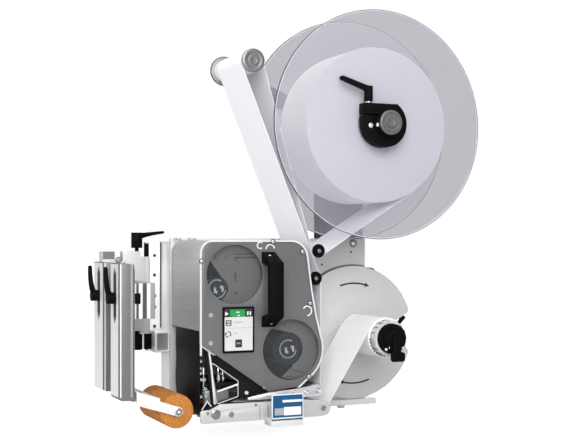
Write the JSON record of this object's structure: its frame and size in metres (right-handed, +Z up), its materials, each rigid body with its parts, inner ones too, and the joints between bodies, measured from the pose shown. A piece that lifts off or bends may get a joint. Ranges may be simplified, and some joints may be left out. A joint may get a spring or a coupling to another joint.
{
  "type": "case labeling machine",
  "caption": "Print-and-apply case labeler: main plate with label supply reel, web rollers, print module with pull-out ribbon cassette, liner rewinder and hinged wipe-on foam roller.",
  "frame": {"origin": "on the underside of the base bar, below the supply reel's axis, in the plane of the main plate's front face", "axes": "+X to the right seen from the front, +Y to the back, +Z up"},
  "size_m": [0.703, 0.343, 0.726],
  "materials": {
    "white_paint": "satin",
    "brushed_steel": "brushed",
    "anodised_aluminium": "satin anodised",
    "bright_steel": "polished",
    "clear_disc": "clear",
    "label_paper": "paper",
    "black_plastic": "satin",
    "drum_plastic": "translucent",
    "smoked_cover": "satin",
    "window_tint": "clear smoked",
    "ribbon_film": "satin",
    "platen_rubber": "matt",
    "black_metal": "satin",
    "sign_blue": "gloss",
    "orange_foam": "fine open foam"
  },
  "bodies": {
    "root": {"base_bar": "anodised_aluminium", "main_plate": "white_paint", "cabinet_shell": "white_paint", "rear_cover": "white_paint", "side_rail": "anodised_aluminium", "support_tube": "anodised_aluminium", "hinge_knuckle_top": "black_plastic", "hinge_knuckle_bottom": "black_plastic", "hinge_pin": "bright_steel", "mast": "brushed_steel", "reel_bearing": "bright_steel", "roller_arm": "brushed_steel", "module_housing": "brushed_steel", "side_guard": "black_plastic", "printhead_bracket": "black_metal", "printhead": "anodised_aluminium", "lower_web_arm": "brushed_steel", "upper_web_arm": "brushed_steel", "sensor_block": "anodised_aluminium", "sign_plate": "sign_blue", "label_web": "label_paper", "backing_web": "label_paper", "platen_motor": "black_metal", "rewind_motor": "black_metal"},
    "supply_reel": {"reel_shaft": "anodised_aluminium", "rear_reel_disc": "clear_disc", "front_reel_disc": "clear_disc", "label_roll": "label_paper", "reel_clamp_block": "black_plastic"},
    "reel_lock": {"reel_clamp_lever": "black_plastic"},
    "top_guide": {"top_roller": "bright_steel"},
    "upper_guide": {"guide_roller_upper": "bright_steel"},
    "lower_guide": {"guide_roller_lower": "bright_steel"},
    "upper_end": {"upper_end_roller": "bright_steel"},
    "lower_end": {"lower_end_roller": "bright_steel"},
    "platen": {"platen_roller": "platen_rubber"},
    "rewinder": {"rewind_flange": "anodised_aluminium", "rewind_mandrel": "drum_plastic", "liner_roll": "label_paper", "rewind_knob": "black_plastic"},
    "rewinder_lock": {"rewind_lever": "black_plastic"},
    "cassette": {"cassette_cover": "smoked_cover", "upper_window": "window_tint", "lower_window": "window_tint", "display_unit": "black_plastic", "cover_handle": "black_plastic", "cassette_frame": "anodised_aluminium"},
    "ribbon_supply": {"ribbon_supply_spool": "ribbon_film"},
    "ribbon_takeup": {"ribbon_takeup_spool": "ribbon_film"},
    "swing": {"hinge_carrier": "anodised_aluminium", "carrier_profile": "anodised_aluminium"},
    "applicator": {"front_post": "anodised_aluminium", "rear_post": "anodised_aluminium"},
    "front_clamp": {"front_post_lever": "black_plastic"},
    "rear_clamp": {"rear_post_lever": "black_plastic"},
    "top_clamp": {"top_clamp_lever": "black_plastic"},
    "bottom_clamp": {"bottom_clamp_knob": "black_plastic"},
    "fork": {"roller_bracket": "white_paint", "roller_axle": "bright_steel"},
    "wipe_roller": {"foam_roller": "orange_foam"}
  },
  "joints": [
    {"name": "supply_reel_spin", "type": "hinge", "parent": "root", "child": "supply_reel", "pos_m": [0, 0, 0.521], "axis": [0, 1, 0], "continuous": true},
    {"name": "reel_lock_turn", "type": "hinge", "parent": "supply_reel", "child": "reel_lock", "pos_m": [-0.029, -0.16115, 0.58], "axis": [0, 0, 1], "range_deg": [0, 150]},
    {"name": "top_guide_spin", "type": "hinge", "parent": "root", "child": "top_guide", "pos_m": [-0.2418, 0, 0.6217], "axis": [0, 1, 0], "continuous": true},
    {"name": "upper_guide_spin", "type": "hinge", "parent": "root", "child": "upper_guide", "pos_m": [-0.1168, 0, 0.2956], "axis": [0, 1, 0], "continuous": true},
    {"name": "lower_guide_spin", "type": "hinge", "parent": "root", "child": "lower_guide", "pos_m": [-0.1228, 0, 0.2476], "axis": [0, 1, 0], "continuous": true},
    {"name": "upper_end_spin", "type": "hinge", "parent": "root", "child": "upper_end", "pos_m": [-0.1255, 0, 0.0535], "axis": [0, 1, 0], "continuous": true},
    {"name": "lower_end_spin", "type": "hinge", "parent": "root", "child": "lower_end", "pos_m": [-0.1138, 0, 0.022], "axis": [0, 1, 0], "continuous": true},
    {"name": "platen_spin", "type": "hinge", "parent": "root", "child": "platen", "pos_m": [-0.314, 0, 0.024], "axis": [0, 1, 0], "continuous": true},
    {"name": "rewinder_spin", "type": "hinge", "parent": "root", "child": "rewinder", "pos_m": [0.018, 0, 0.1387], "axis": [0, 1, 0], "continuous": true},
    {"name": "rewinder_lock_turn", "type": "hinge", "parent": "rewinder", "child": "rewinder_lock", "pos_m": [0.018, -0.1705, 0.1387], "axis": [0, 1, 0], "range_deg": [0, 90]},
    {"name": "cassette_pull", "type": "slide", "parent": "root", "child": "cassette", "axis": [0, -1, 0], "range_m": [0, 0.1]},
    {"name": "ribbon_supply_spin", "type": "hinge", "parent": "cassette", "child": "ribbon_supply", "pos_m": [-0.3067, 0, 0.2322], "axis": [0, 1, 0], "continuous": true},
    {"name": "ribbon_takeup_spin", "type": "hinge", "parent": "cassette", "child": "ribbon_takeup", "pos_m": [-0.1763, 0, 0.126], "axis": [0, 1, 0], "continuous": true},
    {"name": "applicator_swing", "type": "hinge", "parent": "root", "child": "swing", "pos_m": [-0.382, 0.02, 0.216], "axis": [0, 0, 1], "range_deg": [-60, 0]},
    {"name": "applicator_height", "type": "slide", "parent": "swing", "child": "applicator", "axis": [0, 0, 1], "range_m": [-0.035, 0.03]},
    {"name": "front_clamp_turn", "type": "hinge", "parent": "swing", "child": "front_clamp", "pos_m": [-0.4794, -0.12885, 0.2195], "axis": [1, 0, 0], "range_deg": [-60, 60]},
    {"name": "rear_clamp_turn", "type": "hinge", "parent": "swing", "child": "rear_clamp", "pos_m": [-0.4794, -0.02265, 0.2195], "axis": [1, 0, 0], "range_deg": [-60, 60]},
    {"name": "top_clamp_turn", "type": "hinge", "parent": "swing", "child": "top_clamp", "pos_m": [-0.4005, 0.018, 0.31], "axis": [0, 0, 1], "range_deg": [-90, 90]},
    {"name": "bottom_clamp_turn", "type": "hinge", "parent": "swing", "child": "bottom_clamp", "pos_m": [-0.4005, 0.018, 0.135], "axis": [0, 0, 1], "continuous": true},
    {"name": "fork_tilt", "type": "hinge", "parent": "applicator", "child": "fork", "pos_m": [-0.447, -0.08, 0.057], "axis": [0, 1, 0], "range_deg": [-15, 5]},
    {"name": "wipe_roller_spin", "type": "hinge", "parent": "fork", "child": "wipe_roller", "pos_m": [-0.3792, 0, 0.0307], "axis": [0, 1, 0], "continuous": true}
  ],
  "couplings": [
    {"joint": "top_guide_spin", "follows": "supply_reel_spin", "ratio": -7.3316},
    {"joint": "upper_guide_spin", "follows": "supply_reel_spin", "ratio": 13.93},
    {"joint": "lower_guide_spin", "follows": "supply_reel_spin", "ratio": 13.93},
    {"joint": "upper_end_spin", "follows": "supply_reel_spin", "ratio": 11.906},
    {"joint": "lower_end_spin", "follows": "supply_reel_spin", "ratio": -11.608},
    {"joint": "platen_spin", "follows": "supply_reel_spin", "ratio": -9.95},
    {"joint": "rewinder_spin", "follows": "supply_reel_spin", "ratio": 3.8694},
    {"joint": "ribbon_supply_spin", "follows": "supply_reel_spin", "ratio": 6.965},
    {"joint": "ribbon_takeup_spin", "follows": "supply_reel_spin", "ratio": 4.975}
  ]
}
